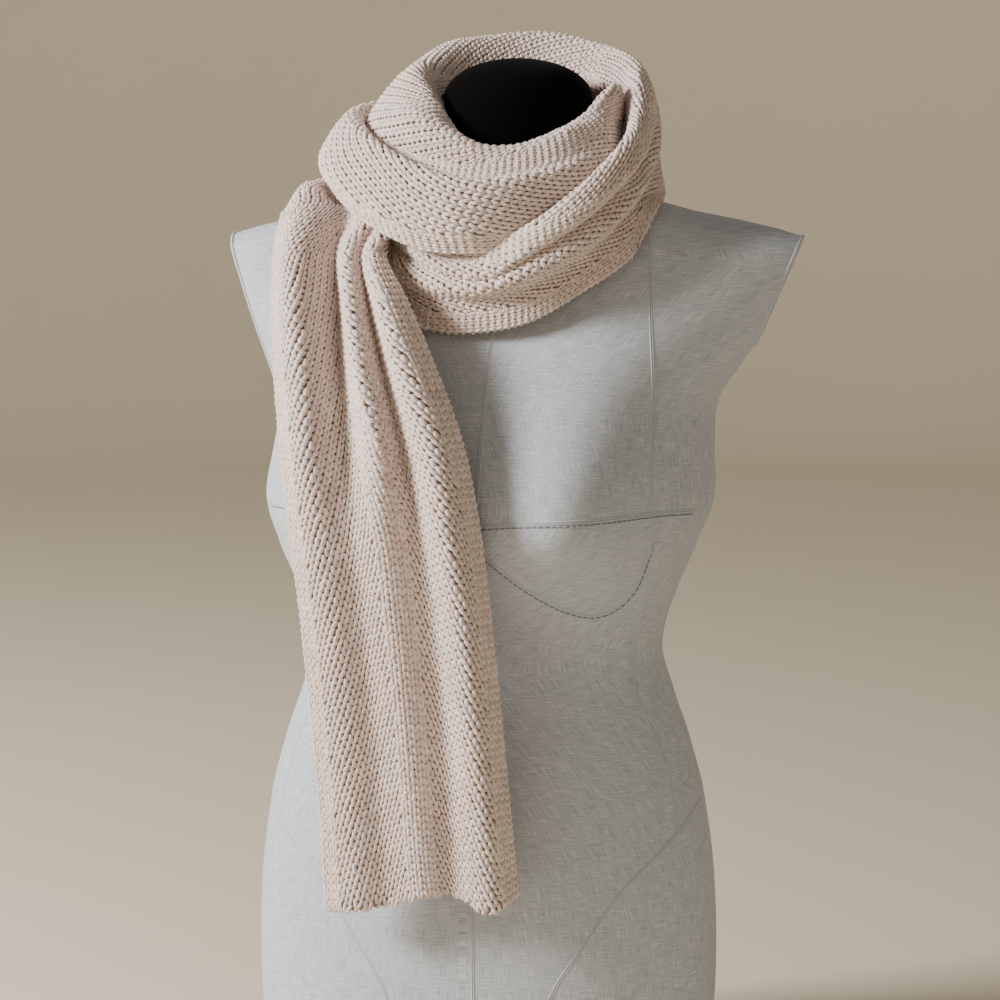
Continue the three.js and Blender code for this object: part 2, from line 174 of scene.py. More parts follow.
# The arm plates are cut by planes through these points. Their edges reach ARM_PLATE_DOWN below.
ARM_PLATE_X, ARM_PLATE_Z, ARM_PLATE_DOWN = 203, 629, 123
ARM_PLATE_SLOPES = {LEFT: 0.335, RIGHT: 0.425}
CAP_RADIUS, CAP_BOTTOM, CAP_WALL, CAP_DOME = 52.5, 690.3, 727, 28


def sections():
    """The band's sections as points, the tail's hem first."""
    tail = np.array([[(x, y, row[0]) for x, y in row[1:]] for row in TAIL_ROWS], float)
    tail[0, :, 2] += HEM_LIFT
    angle = np.radians([row[0] for row in TURN_ROWS])[:, None]
    turns = np.array([row[1:] for row in TURN_ROWS], float)
    reach, height = turns[..., 0], turns[..., 1]
    ring = np.stack([NECK_X + reach * np.sin(angle), -reach * np.cos(angle), height], -1)
    return np.concatenate([tail, ring])


def smooth(knots, at):
    """Values of a smooth curve through evenly counted knots (Catmull-Rom, straight past the ends)."""
    knots = np.asarray(knots, float)
    ends = (2 * knots[:1] - knots[1:2], knots, 2 * knots[-1:] - knots[-2:-1])
    padded = np.concatenate(ends)
    last = len(knots) - 1
    i = np.clip(np.floor(at).astype(int), 0, last - 1)
    f = np.clip(at - i, 0, 1).reshape(i.shape + (1,) * (knots.ndim - 1))
    a, b, c, d = (padded[i + k] for k in range(4))
    cubic = (3 * b - a - 3 * c + d) * f**3
    return 0.5 * (2 * b + (c - a) * f + (2 * a - 5 * b + 4 * c - d) * f**2 + cubic)


def lean(z):
    """How far right of the origin the ring's middle stands at each height."""
    t = np.clip((z - LEAN_FROM) / LEAN_RISE, 0, 1)
    return LEAN_LOW + LEAN_SHIFT * t * t * (3 - 2 * t)


def ring_at(z):
    """Half width, front depth, back depth and shift of the form's ring at each height."""
    heights = np.array([ring[0] for ring in FORM_RINGS], float)
    at = np.interp(z, heights, np.arange(len(heights)))
    return np.moveaxis(smooth([ring[1:] for ring in FORM_RINGS], at), -1, 0)


def bust_depth(x, z):
    """How far the bust lobes stand out of the ring."""
    rise = z - BUST["height"]
    tall = np.where(rise > 0, BUST["up"], BUST["down"])
    lobes = 0
    for side in (LEFT, RIGHT):
        away = ((x - side * BUST["side"]) / BUST["spread"]) ** 2 + (rise / tall) ** 2
        lobes = lobes + np.exp(-away / 2)
    return BUST["depth"] * lobes


def form_point(z, angle):
    """Points on the form at heights and angles, 0 at the front and +90 degrees on the right."""
    half, front, back, shift = ring_at(z)
    s, k = np.sin(angle), -np.cos(angle)
    m = (np.abs(s) ** RING_POWER + np.abs(k) ** RING_POWER) ** (-1 / RING_POWER)
    x = half * s * m
    forward = np.maximum(-k * m, 0)
    y = np.where(k < 0, front, back) * k * m + shift - bust_depth(x, z) * np.sqrt(forward)
    return np.stack([x + lean(z), y, z + 0 * x], -1)


def front_point(x, z):
    """The point of the form's front at x and z, with x from the form's own middle."""
    half, front, _, shift = ring_at(z)
    q = np.maximum(1 - np.abs(x / half) ** RING_POWER, 0) ** (1 / RING_POWER)
    y = shift - front * q - bust_depth(x, z) * np.sqrt(q)
    return np.stack([x + lean(z), y, z + 0 * x], -1)


def form_level(p):
    """Below 0 inside the form and above 0 outside it."""
    x, y, z = p[..., 0], p[..., 1], p[..., 2]
    half, front, back, shift = ring_at(np.minimum(z, FORM_RINGS[-1][0]))
    x = x - lean(z)
    ahead = y < shift
    reach = np.minimum(np.abs(y - shift) / front, 1)
    y = y - shift + np.where(ahead, bust_depth(x, z) * np.sqrt(reach), 0)
    level = np.abs(x / half) ** RING_POWER + np.abs(y / np.where(ahead, front, back)) ** RING_POWER
    return level ** (1 / RING_POWER) - 1


PROBE = 0.5                    # how far off the form's slope is felt
PUSHES, LONGEST_PUSH = 6, 4    # how many times, and how far each time, a point is moved out


def clear_of_form(p, need):
    """Moves points that lie too near the form straight out from its surface."""
    p = p.copy()
    for _ in range(PUSHES):
        level = form_level(p)
        slope = np.stack([form_level(p + PROBE * np.eye(3)[k]) - level for k in range(3)], -1) / PROBE
        steep = np.linalg.norm(slope, axis=-1)
        short = np.clip(need - level / steep, 0, LONGEST_PUSH)
        p += slope * (short / steep)[..., None]
    return p


# ------------------------------------------------------------------ the band's surface

LINES = 7                      # from edge to hem
ROWS_PER_SECTION = 24
FINE_COLUMNS = 181             # across the band before its columns are evened out
COLUMNS = 97
MIDDLE_COLUMNS = slice(12, -12, 12)    # those whose mean gives the length along the band


def run_along(path):
    """How far along a path each of its points is."""
    return np.concatenate([[0], np.cumsum(np.linalg.norm(np.diff(path, axis=0), axis=1))])


def even_across(curves, columns):
    """Resamples every row of points so that they are evenly spaced along the cloth."""
    gaps = np.linalg.norm(np.diff(curves, axis=1), axis=2)
    run = np.concatenate([np.zeros((len(curves), 1)), np.cumsum(gaps, 1)], 1)
    even = np.linspace(0, 1, columns)
    out = np.empty((len(curves), columns, 3))
    for row, (points, length) in enumerate(zip(curves, run)):
        for k in range(3):
            out[row, :, k] = np.interp(even * length[-1], length, points[:, k])
    return out, run[:, -1]


@functools.lru_cache(maxsize=1)
def band_surface():
    """The band's middle surface: points and normals; and how far along the band each row is, its
    place among the sections, and its width."""
    knots = sections()
    count = (len(knots) - 1) * ROWS_PER_SECTION + 1
    at = np.linspace(0, len(knots) - 1, count)
    lines = smooth(knots, at)
    across = np.linspace(0, LINES - 1, FINE_COLUMNS)
    curves = np.swapaxes(smooth(np.swapaxes(lines, 0, 1), across), 0, 1)
    points, widths = even_across(curves, COLUMNS)
    points = clear_of_form(points, CLOTH_CLEARANCE)
    along = np.gradient(points, axis=0)
    sideways = np.gradient(points, axis=1)
    normals = np.cross(along, sideways)
    normals /= np.linalg.norm(normals, axis=2, keepdims=True)
    middle = points[:, MIDDLE_COLUMNS].mean(axis=1)
    return points, normals, run_along(middle), at, widths


def section_run(section):
    """How far along the band a section lies, in millimetres."""
    _, _, run, at, _ = band_surface()
    return float(np.interp(section, at, run))


def row_at(along):
    """The surface's row at each length along the band, running on past both ends."""
    run = band_surface()[2]
    row = np.interp(along, run, np.arange(len(run)))
    before = np.minimum(along, 0) / (run[1] - run[0])
    after = np.maximum(along - run[-1], 0) / (run[-1] - run[-2])
    return row + before + after


def hidden_width(along):
    """The width, in flat millimetres, folded out of sight at the neck-side edge."""
    _, _, run, _, widths = band_surface()
    return np.maximum(BAND_WIDTH - np.interp(along, run, widths) / LEAST_SQUEEZE, 0)


def on_band(along, across, height):
    """Points on the band at along and across (mm on the flat band) and height above its middle."""
    points, normals, run, _, _ = band_surface()
    row = row_at(along)
    hidden = hidden_width(along)
    column = (across - hidden) / (BAND_WIDTH - hidden) * (COLUMNS - 1)
    i = np.clip(row.astype(int), 0, len(run) - 2)
    j = np.clip(column.astype(int), 0, COLUMNS - 2)
    f = (row - i)[..., None]
    g = (column - j)[..., None]
    spots = []
    for grid in (points, normals):
        near = grid[i, j] * (1 - g) + grid[i, j + 1] * g
        far = grid[i + 1, j] * (1 - g) + grid[i + 1, j + 1] * g
        spots.append(near * (1 - f) + far * f)
    return spots[0] + spots[1] * height[..., None]


# ------------------------------------------------------------------ meshes

def volume(points, faces):
    """The volume inside closed faces, below 0 where they face inwards."""
    corners = [points[faces[:, k]] for k in range(faces.shape[1])]
    fans = (np.einsum("ij,ij->", corners[0], np.cross(corners[k], corners[k + 1]))
            for k in range(1, len(corners) - 1))
    return sum(fans) / 6


def triangles(quads):
    """Each quad as two triangles."""
    return np.concatenate([quads[:, [0, 1, 2]], quads[:, [0, 2, 3]]])


def merged(parts):
    """Several (points, faces, any values per point) as one."""
    starts = np.cumsum([0] + [len(part[0]) for part in parts[:-1]])
    faces = [part[1] + start for part, start in zip(parts, starts)]
    points, _, *values = (np.concatenate(same) for same in zip(*parts))
    return (points, np.concatenate(faces), *values)


def new_mesh(name, points, faces, attributes=None):
    """A smooth-shaded mesh from points in millimetres and closed faces of the same corner count."""
    faces = np.asarray(faces, np.int32)
    if volume(points, faces) < 0:
        faces = faces[:, ::-1]
    corners = faces.shape[1]
    mesh = bpy.data.meshes.new(name)
    mesh.vertices.add(len(points))
    mesh.vertices.foreach_set("co", (np.asarray(points, np.float32) * MM).ravel())
    mesh.loops.add(faces.size)
    mesh.loops.foreach_set("vertex_index", faces.ravel())
    mesh.polygons.add(len(faces))
    mesh.polygons.foreach_set("loop_start", np.arange(len(faces), dtype=np.int32) * corners)
    mesh.update(calc_edges=True)
    for key, values in (attributes or {}).items():
        values = np.asarray(values, np.float32)
        kind = "FLOAT_VECTOR" if values.ndim == 2 else "FLOAT"
        field = "vector" if values.ndim == 2 else "value"
        mesh.attributes.new(key, kind, "POINT").data.foreach_set(field, values.ravel())
    mesh.polygons.foreach_set("use_smooth", np.ones(len(faces), bool))
    return mesh


def new_piece(name, mesh, material, stands_for=()):
    """Links an object for a mesh, gives it its material, and rides it on the root body."""
    piece = bpy.data.objects.new(name, mesh)
    bpy.context.scene.collection.objects.link(piece)
    mesh.materials.append(material)
    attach(piece, ROOT)
    if stands_for:
        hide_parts(*stands_for)
    return piece


def grid_faces(rows, columns, closed=False):
    """Quads of a grid of points; closed joins the last column to the first."""
    r = np.arange(rows - 1)[:, None]
    c = np.arange(columns if closed else columns - 1)[None, :]
    right = (c + 1) % columns
    near, far = r * columns, (r + 1) * columns
    corners = (near + c, near + right, far + right, far + c)
    return np.stack([np.broadcast_to(k, (rows - 1, c.size)) for k in corners], -1).reshape(-1, 4)


def shell(points, normals, outside, inside):
    """A closed wall on a grid of points, from outside to inside along the normals, and its faces."""
    rows, columns = points.shape[:2]
    total = rows * columns
    vertices = np.concatenate([points + normals * outside, points - normals * inside]).reshape(-1, 3)
    front = grid_faces(rows, columns)[:, ::-1]
    rim = np.concatenate([
        np.arange(columns),
        np.arange(1, rows) * columns + columns - 1,
        (rows - 1) * columns + np.arange(columns - 2, -1, -1),
        np.arange(rows - 2, 0, -1) * columns,
    ])
    after = np.roll(rim, -1)
    side = np.stack([rim, after, after + total, rim + total], -1)
    return vertices, np.concatenate([front, front[:, ::-1] + total, side])


# ------------------------------------------------------------------ the knit

EDGE_WALES, MIDDLE_WALES = 3, 4    # straight wales at each edge and in the middle
STITCH_SIDES = 5
PANEL_OVERLAP = 0.3                # in stitch widths: how far a slanting wale runs past its panel's edge
SPARE = 2                          # wales and rows laid past a panel before it is trimmed
FOLD_INSET = 0.4                   # in stitch widths: how near the fold a stitch may stand
# Small differences from stitch to stitch: turn in radians, size as a share, lift in mm.
TURN_SPREAD, SIZE_SPREAD, LIFT_SPREAD = 0.05, 0.035, 0.12
# A knit stitch is a V of two plump legs. One leg's middle line, from its foot under the stitch
# below to its head under the stitch above: across and along in stitch widths and row heights,
# then height above the fabric's middle and the yarn's half width and half thickness, all in mm.
LEG_LINE = (
    (0.03, -0.88, -0.2, 0.0, 0.0),
    (0.12, -0.48, 1.3, 1.25, 1.0),
    (0.235, 0.0, 2.15, 1.6, 1.25),
    (0.335, 0.46, 1.6, 1.4, 1.05),
    (0.375, 0.96, -0.3, 0.0, 0.0),
)
# A bead of the slipped edge: it starts on the face, rounds the edge and ends on the back. Along
# the edge and out of it in mm, then as above.
BEAD_LINE = (
    (-2.6, -3.2, 0.8, 0.0, 0.0),
    (-1.2, -1.0, 1.7, 1.2, 1.0),
    (0.4, 0.7, 0.6, 1.45, 1.25),
    (1.6, 0.2, -0.8, 1.2, 1.0),
    (2.6, -2.2, -1.4, 0.0, 0.0),
)


def yarn_lump(line, wide, tall):
    """A short plump piece of yarn with pointed ends: its points (across, along, height) and faces."""
    line = np.asarray(line, float)
    path = line[:, :3] * (wide, tall, 1)
    radii = line[:, 3:]
    forward = np.gradient(path, axis=0)
    forward /= np.linalg.norm(forward, axis=1, keepdims=True)
    sideways = np.cross(forward, (0, 0, 1))
    sideways /= np.linalg.norm(sideways, axis=1, keepdims=True)
    upward = np.cross(sideways, forward)
    turn = np.arange(STITCH_SIDES) / STITCH_SIDES * 2 * np.pi
    rings = [
        path[k] + np.outer(np.cos(turn), sideways[k]) * radii[k, 0]
        + np.outer(np.sin(turn), upward[k]) * radii[k, 1]
        for k in range(1, len(path) - 1)
    ]
    points = np.concatenate([path[:1], *rings, path[-1:]])
    last = len(points) - 1
    faces = []
    for side in range(STITCH_SIDES):
        after = (side + 1) % STITCH_SIDES
        faces.append((0, 1 + after, 1 + side))
        for ring in range(len(rings) - 1):
            a, b = 1 + ring * STITCH_SIDES + side, 1 + ring * STITCH_SIDES + after
            faces += [(a, b, b + STITCH_SIDES), (a, b + STITCH_SIDES, a + STITCH_SIDES)]
        top = 1 + (len(rings) - 1) * STITCH_SIDES
        faces.append((last, top + side, top + after))
    along = np.concatenate([[0], np.repeat(np.arange(1, len(path) - 1), STITCH_SIDES), [len(path) - 1]])
    around = np.concatenate([[0], np.tile(np.arange(STITCH_SIDES) / STITCH_SIDES, len(rings)), [0]])
    return points, np.array(faces), along / (len(path) - 1), around


def lay_lumps(lump, centres, slant, rng):
    """Copies a lump to each centre (along, across) on the band, turned by slant (radians)."""
    points, faces, along, around = lump
    slant = np.broadcast_to(slant, len(centres))
    turn = slant + rng.normal(0, TURN_SPREAD, len(centres))
    size = rng.normal(1, SIZE_SPREAD, (len(centres), 1))
    lift = rng.normal(0, LIFT_SPREAD, (len(centres), 1))
    x = points[:, 0] * size
    y = points[:, 1] * size
    c, s = np.cos(turn)[:, None], np.sin(turn)[:, None]
    along_band = centres[:, :1] + y * c - x * s
    across_band = centres[:, 1:] + y * s + x * c
    laid = on_band(along_band, across_band, points[:, 2] + lift)
    count = len(points)
    all_faces = (faces[None] + (np.arange(len(centres)) * count)[:, None, None]).reshape(-1, 3)
    height = np.broadcast_to(points[:, 2], (len(centres), count))
    yarn = np.stack(np.broadcast_arrays(along, around, height), -1)
    tint = np.repeat(rng.random(len(centres)), count)
    return laid.reshape(-1, 3), all_faces, yarn.reshape(-1, 3), tint


def straight_stitches(start, stop, sizes):
    """The stitches of the straight wales: three at each edge and four in the middle."""
    wide, tall = sizes["straight"], sizes["row"]
    rows = np.arange(math.floor(start / tall), math.ceil(stop / tall)) * tall + tall / 2
    edge = [(k + 0.5) * wide for k in range(EDGE_WALES)]
    middle = [BAND_WIDTH / 2 + (k + 0.5 - MIDDLE_WALES / 2) * wide for k in range(MIDDLE_WALES)]
    wales = [*edge, *middle, *(BAND_WIDTH - a for a in edge)]
    along, across = np.meshgrid(rows, wales)
    return np.stack([along.ravel(), across.ravel()], -1), np.zeros(along.size)


def slanting_stitches(start, stop, sizes):
    """The stitches of both side panels, whose wales run inward as they go up the band."""
    wide, tall, slant = sizes["stitch"], sizes["row"], sizes["slant"]
    low = EDGE_WALES * sizes["straight"]
    high = (BAND_WIDTH - MIDDLE_WALES * sizes["straight"]) / 2
    s, c = math.sin(slant), math.cos(slant)
    wales = np.arange(
        math.floor(-stop * s / wide) - SPARE, math.ceil((high * c - start * s) / wide) + SPARE)
    steps = np.arange(
        math.floor(start * c / tall) - SPARE, math.ceil((stop * c + high * s) / tall) + SPARE)
    q, p = np.meshgrid((wales + 0.5) * wide, (steps + 0.5) * tall)
    along = p * c - q * s
    inward = low + p * s + q * c
    past = PANEL_OVERLAP * wide
    keep = (inward > low - past) & (inward < high + past)
    along, inward = along[keep], inward[keep]
    near = np.stack([along, inward], -1)
    far = np.stack([along, BAND_WIDTH - inward], -1)
    slants = np.concatenate([np.full(len(along), slant), np.full(len(along), -slant)])
    return np.concatenate([near, far]), slants


def shown_stitches(laid, start, stop, sizes):
    """Those stitches that lie in the stretch and outside the part folded out of sight."""
    spots, slants = laid
    shown = (spots[:, 0] >= start) & (spots[:, 0] < stop)
    shown &= spots[:, 1] > hidden_width(spots[:, 0]) + FOLD_INSET * sizes["straight"]
    return spots[shown], slants[shown]


def stitches(name, start, stop, sizes, loose_ends):
    """One mesh with every stitch and edge bead of a stretch, and the beads along its loose end."""
    rng = np.random.default_rng(sizes["seed"])
    tall = sizes["row"]
    legs = (np.array(LEG_LINE), np.array(LEG_LINE) * (-1, 1, 1, 1, 1))
    parts = []
    for lay, wide in ((straight_stitches, sizes["straight"]), (slanting_stitches, sizes["stitch"])):
        centres, slants = shown_stitches(lay(start, stop, sizes), start, stop, sizes)
        parts += [lay_lumps(yarn_lump(leg, wide, tall), centres, slants, rng) for leg in legs]
    bead = np.array(BEAD_LINE)
    edge = np.arange(start + tall / 2, stop, tall)
    for across, outward in ((hidden_width(edge), -1), (np.full(len(edge), BAND_WIDTH), 1)):
        turned = bead[:, [1, 0, 2, 3, 4]] * (outward, 1, 1, 1, 1)
        parts.append(lay_lumps(yarn_lump(turned, 1, 1), np.stack([edge, across], -1), 0.0, rng))
    for end in loose_ends:
        outward = -1 if end <= start else 1
        across = np.arange(float(hidden_width(end)) + tall / 2, BAND_WIDTH, tall)
        turned = bead * (1, outward, 1, 1, 1)
        spots = np.stack([np.full(len(across), end), across], -1)
        parts.append(lay_lumps(yarn_lump(turned, 1, 1), spots, 0.0, rng))
    points, faces, yarn, tint = merged(parts)
    return new_mesh(name, points, faces, {"yarn": yarn, "tint": tint})


BACKING_STEP = 3.5             # length of one row of the ground's mesh
BACKING_COLUMN = 2             # it takes every second column of the band's surface
BACKING_WALL = (0.7, 1.3)      # how far the ground reaches outside and inside the band's middle


def backing(name, start, stop):
    """The knit's ground: a thin wall that closes the fabric between and behind the stitches; its outside is
    painted dark as shade between the stitches.
    """
    points, normals, run, _, _ = band_surface()
    lengths = np.linspace(start, stop, int((stop - start) / BACKING_STEP))
    rows = row_at(lengths)
    i = np.clip(rows.astype(int), 0, len(run) - 2)
    f = (rows - i)[:, None, None]
    columns = slice(0, COLUMNS, BACKING_COLUMN)
    spots = [grid[i, columns] * (1 - f) + grid[i + 1, columns] * f for grid in (points, normals)]
    vertices, faces = shell(spots[0], spots[1], *BACKING_WALL)
    across = np.broadcast_to(np.linspace(0, BAND_WIDTH, spots[0].shape[1]), spots[0].shape[:2])
    along = np.broadcast_to(lengths[:, None], spots[0].shape[:2])
    flat = np.stack([across, along, 0 * along], -1).reshape(-1, 3)
    return new_mesh(name, vertices, faces, {"cloth": np.concatenate([flat, flat - (0, 0, 1)])})


# ------------------------------------------------------------------ materials

def linear(hex_colour):
    """Linear red, green, blue and alpha of an sRGB hex colour such as "#c8b4a6"."""
    def channel(value):
        return value / 12.92 if value <= 0.04045 else ((value + 0.055) / 1.055) ** 2.4
    return tuple(channel(int(hex_colour[k:k + 2], 16) / 255) for k in (1, 3, 5)) + (1.0,)


def add_node(tree, kind, inputs=None, **settings):
    """Adds a node with its settings; an input is a value or another node's output."""
    node = tree.nodes.new(kind)
    for key, value in settings.items():
        setattr(node, key, value)
    for key, value in (inputs or {}).items():
        if isinstance(value, bpy.types.NodeSocket):
            tree.links.new(value, node.inputs[key])
        else:
            node.inputs[key].default_value = value
    return node


def new_material(name):
    """An empty material: its node tree, its shader and the material."""
    material = bpy.data.materials.new(name)
    material.use_nodes = True
    tree = material.node_tree
    return tree, tree.nodes["Principled BSDF"], material


def wool_yarn(name, colours):
    """Chunky wool yarn, spun in plies and knitted: matt, with a soft sheen from its loose fibres."""
    tree, shader, material = new_material(name)
    yarn = add_node(tree, "ShaderNodeAttribute", attribute_name="yarn")
    tint = add_node(tree, "ShaderNodeAttribute", attribute_name="tint")
    place = add_node(tree, "ShaderNodeTexCoord")
    part = add_node(tree, "ShaderNodeSeparateXYZ", {0: yarn.outputs["Vector"]})
    # Painted shade: the yarn is coloured darker the lower it lies towards the fabric, from the deep colour
    # low between the stitches to the face colour at the top of each leg.
    depth = add_node(tree, "ShaderNodeMapRange", {0: part.outputs["Z"], 1: -0.6, 2: 2.2})
    base = add_node(tree, "ShaderNodeMix", {
        0: depth.outputs[0], 6: linear(colours["deep_shade"]), 7: linear(colours["face"])}, data_type="RGBA")
    # Hand-dyed wool: patches about 40 mm across, and small steps from stitch to stitch.
    patch = add_node(tree, "ShaderNodeTexNoise", {
        "Vector": place.outputs["Object"], "Scale": 26.0, "Detail": 3.0, "Roughness": 0.6})
    blush = add_node(tree, "ShaderNodeMapRange", {0: patch.outputs[0], 1: 0.4, 2: 0.7, 3: 0.0, 4: 0.5})
    warm = add_node(tree, "ShaderNodeMix", {
        0: blush.outputs[0], 6: base.outputs[2], 7: linear(colours["blush"])}, data_type="RGBA")
    step = add_node(tree, "ShaderNodeMapRange", {0: tint.outputs["Fac"], 3: 0.88, 4: 1.08})
    # Loose fibres and specks: real ones are 0.03 mm, drawn as about 0.7 mm so that they show.
    fibre = add_node(tree, "ShaderNodeTexNoise", {
        "Vector": place.outputs["Object"], "Scale": 1500.0, "Detail": 2.0, "Roughness": 0.7})
    speck = add_node(tree, "ShaderNodeMapRange", {0: fibre.outputs[0], 1: 0.3, 2: 0.7, 3: 0.86, 4: 1.1})
    shade = add_node(tree, "ShaderNodeMath", {
        0: step.outputs[0], 1: speck.outputs[0]}, operation="MULTIPLY")
    colour = add_node(tree, "ShaderNodeVectorMath", {
        0: warm.outputs[2], 3: shade.outputs[0]}, operation="SCALE")
    # Three plies that turn once in about 6 mm.
    turns = add_node(tree, "ShaderNodeMath", {
        0: part.outputs["X"], 1: 4.5, 2: part.outputs["Y"]}, operation="MULTIPLY_ADD")
    ply = add_node(tree, "ShaderNodeMath", {0: turns.outputs[0], 1: 0.5}, operation="PINGPONG")
    ridge = add_node(tree, "ShaderNodeBump", {
        "Height": ply.outputs[0], "Strength": 0.5, "Distance": 0.0009})
    hair = add_node(tree, "ShaderNodeBump", {
        "Height": fibre.outputs[0], "Strength": 0.55, "Distance": 0.0005, "Normal": ridge.outputs[0]})
    tree.links.new(colour.outputs[0], shader.inputs["Base Color"])
    tree.links.new(hair.outputs[0], shader.inputs["Normal"])
    shader.inputs["Roughness"].default_value = 0.92
    shader.inputs["IOR"].default_value = 1.5
    shader.inputs["Specular IOR Level"].default_value = 0.25
    shader.inputs["Sheen Weight"].default_value = 0.35
    shader.inputs["Sheen Roughness"].default_value = 0.5
    shader.inputs["Sheen Tint"].default_value = linear(colours["face"])
    return material


def wool_ground(name, colours):
    """The knit's purl side, painted darker between its bumps as shade, and the painted shade between its
    stitches: low bumps, darker than the face.
    """
    tree, shader, material = new_material(name)
    # Purl bumps stand about 4.5 mm apart; the purl side is painted the deep colour between them, as shade.
    cloth = add_node(tree, "ShaderNodeAttribute", attribute_name="cloth")
    bumps = add_node(tree, "ShaderNodeTexVoronoi", {
        "Vector": cloth.outputs["Vector"], "Scale": 0.22, "Randomness": 0.25})
    fade = add_node(tree, "ShaderNodeMapRange", {0: bumps.outputs["Distance"], 1: 0.1, 2: 0.7})
    colour = add_node(tree, "ShaderNodeMix", {
        0: fade.outputs[0], 6: linear(colours["ground"]), 7: linear(colours["deep_shade"])}, data_type="RGBA")
    relief = add_node(tree, "ShaderNodeBump", {
        "Height": bumps.outputs["Distance"], "Strength": 0.9, "Distance": 0.0015}, invert=True)
    # The outside, under the stitches, is at layer 0 and the purl side at layer -1. The outside is painted
    # the dark gap colour, as shade deep between the stitches.
    layer = add_node(tree, "ShaderNodeSeparateXYZ", {0: cloth.outputs["Vector"]})
    behind = add_node(tree, "ShaderNodeMath", {0: layer.outputs["Z"], 1: -1.0}, operation="MULTIPLY")
    colour = add_node(tree, "ShaderNodeMix", {
        0: behind.outputs[0], 6: linear(colours["gap"]), 7: colour.outputs[2]}, data_type="RGBA")
    tree.links.new(colour.outputs[2], shader.inputs["Base Color"])
    tree.links.new(relief.outputs[0], shader.inputs["Normal"])
    shader.inputs["Roughness"].default_value = 0.95
    shader.inputs["Specular IOR Level"].default_value = 0.2
    return material


# The torso's cloth runs round and up the form; the arm plates' cloth lies in their own plane.
# Real threads lie 0.4 mm apart; they are drawn about 0.7 mm apart so that they show, and each slub
# runs for 15 to 30 mm. The first is measured in mm on the cloth and the second in metres in space.
COVER_CLOTH = dict(attribute="cloth", threads=((1.9, 0.07, 1.0), (0.07, 1.9, 1.0)))
PLATE_CLOTH = dict(attribute=None, threads=((1900.0, 1900.0, 70.0), (1900.0, 70.0, 1900.0)))


def slubby_linen(name, colours, cloth):
    """Woven linen with slubs: crossing threads of uneven thickness, pale on a grey-blue ground."""
    tree, shader, material = new_material(name)
    if cloth["attribute"]:
        place = add_node(
            tree, "ShaderNodeAttribute", attribute_name=cloth["attribute"]).outputs["Vector"]
    else:
        place = add_node(tree, "ShaderNodeTexCoord").outputs["Object"]
    layers = []
    for thread in cloth["threads"]:
        stretched = add_node(tree, "ShaderNodeVectorMath", {0: place, 1: thread}, operation="MULTIPLY")
        layers.append(add_node(tree, "ShaderNodeTexNoise", {
            "Vector": stretched.outputs[0], "Scale": 1.0, "Detail": 3.0, "Roughness": 0.65}).outputs[0])
    both = add_node(tree, "ShaderNodeMath", {0: layers[0], 1: layers[1]}, operation="ADD")
    weave = add_node(tree, "ShaderNodeMapRange", {0: both.outputs[0], 1: 0.78, 2: 1.26})
    colour = add_node(tree, "ShaderNodeMix", {
        0: weave.outputs[0], 6: linear(colours["shade"]), 7: linear(colours["thread"])}, data_type="RGBA")
    relief = add_node(tree, "ShaderNodeBump", {
        "Height": both.outputs[0], "Strength": 0.35, "Distance": 0.0004})
    tree.links.new(colour.outputs[2], shader.inputs["Base Color"])
    tree.links.new(relief.outputs[0], shader.inputs["Normal"])
    shader.inputs["Roughness"].default_value = 0.85
    shader.inputs["Specular IOR Level"].default_value = 0.3
    shader.inputs["Sheen Weight"].default_value = 0.15
    return material


def flocked_black(name):
    """A moulded cap with a black flocked skin: it drinks the light and keeps only a faint bloom."""
    tree, shader, material = new_material(name)
    place = add_node(tree, "ShaderNodeTexCoord")
    # Flock fibres are far finer than the 0.7 mm at which they are drawn to show.
    nap = add_node(tree, "ShaderNodeTexNoise", {
        "Vector": place.outputs["Object"], "Scale": 1400.0, "Detail": 2.0})
    colour = add_node(tree, "ShaderNodeMix", {
        0: nap.outputs[0], 6: linear("#020202"), 7: linear("#070707")}, data_type="RGBA")
    relief = add_node(tree, "ShaderNodeBump", {
        "Height": nap.outputs[0], "Strength": 0.3, "Distance": 0.0003})
    tree.links.new(colour.outputs[2], shader.inputs["Base Color"])
    tree.links.new(relief.outputs[0], shader.inputs["Normal"])
    shader.inputs["Roughness"].default_value = 0.95
    shader.inputs["Specular IOR Level"].default_value = 0.05
    shader.inputs["Sheen Weight"].default_value = 0.01
    return material


def cotton_trim(name, colours):
    """Twisted cotton cord and thread: matt, and mottled along its turns, about 1 mm each."""
    tree, shader, material = new_material(name)
    place = add_node(tree, "ShaderNodeTexCoord")
    twist = add_node(tree, "ShaderNodeTexNoise", {
        "Vector": place.outputs["Object"], "Scale": 900.0, "Detail": 2.0})
    colour = add_node(tree, "ShaderNodeMix", {
        0: twist.outputs[0], 6: linear(colours["shade"]), 7: linear(colours["thread"])}, data_type="RGBA")
    tree.links.new(colour.outputs[2], shader.inputs["Base Color"])
    shader.inputs["Roughness"].default_value = 0.8
    return material


def painted_floor(name, colour):
    """A studio floor painted matt: one plain pale colour, faintly uneven over half a metre."""
    tree, shader, material = new_material(name)
    place = add_node(tree, "ShaderNodeTexCoord")
    cloud = add_node(tree, "ShaderNodeTexNoise", {"Vector": place.outputs["Object"], "Scale": 2.0})
    tone = add_node(tree, "ShaderNodeMapRange", {0: cloud.outputs[0], 3: 0.97, 4: 1.03})
    mixed = add_node(tree, "ShaderNodeVectorMath", {
        0: tuple(colour[:3]), 3: tone.outputs[0]}, operation="SCALE")
    tree.links.new(mixed.outputs[0], shader.inputs["Base Color"])
    shader.inputs["Roughness"].default_value = 0.9
    return material


# ------------------------------------------------------------------ settings

def length_setting(name, description, default):
    return bpy.props.FloatProperty(
        name=name, description=description, default=default, min=0.0, unit="LENGTH", precision=4)


def colour_setting(name, description, default):
    return bpy.props.StringProperty(name=name, description=description, default=default)


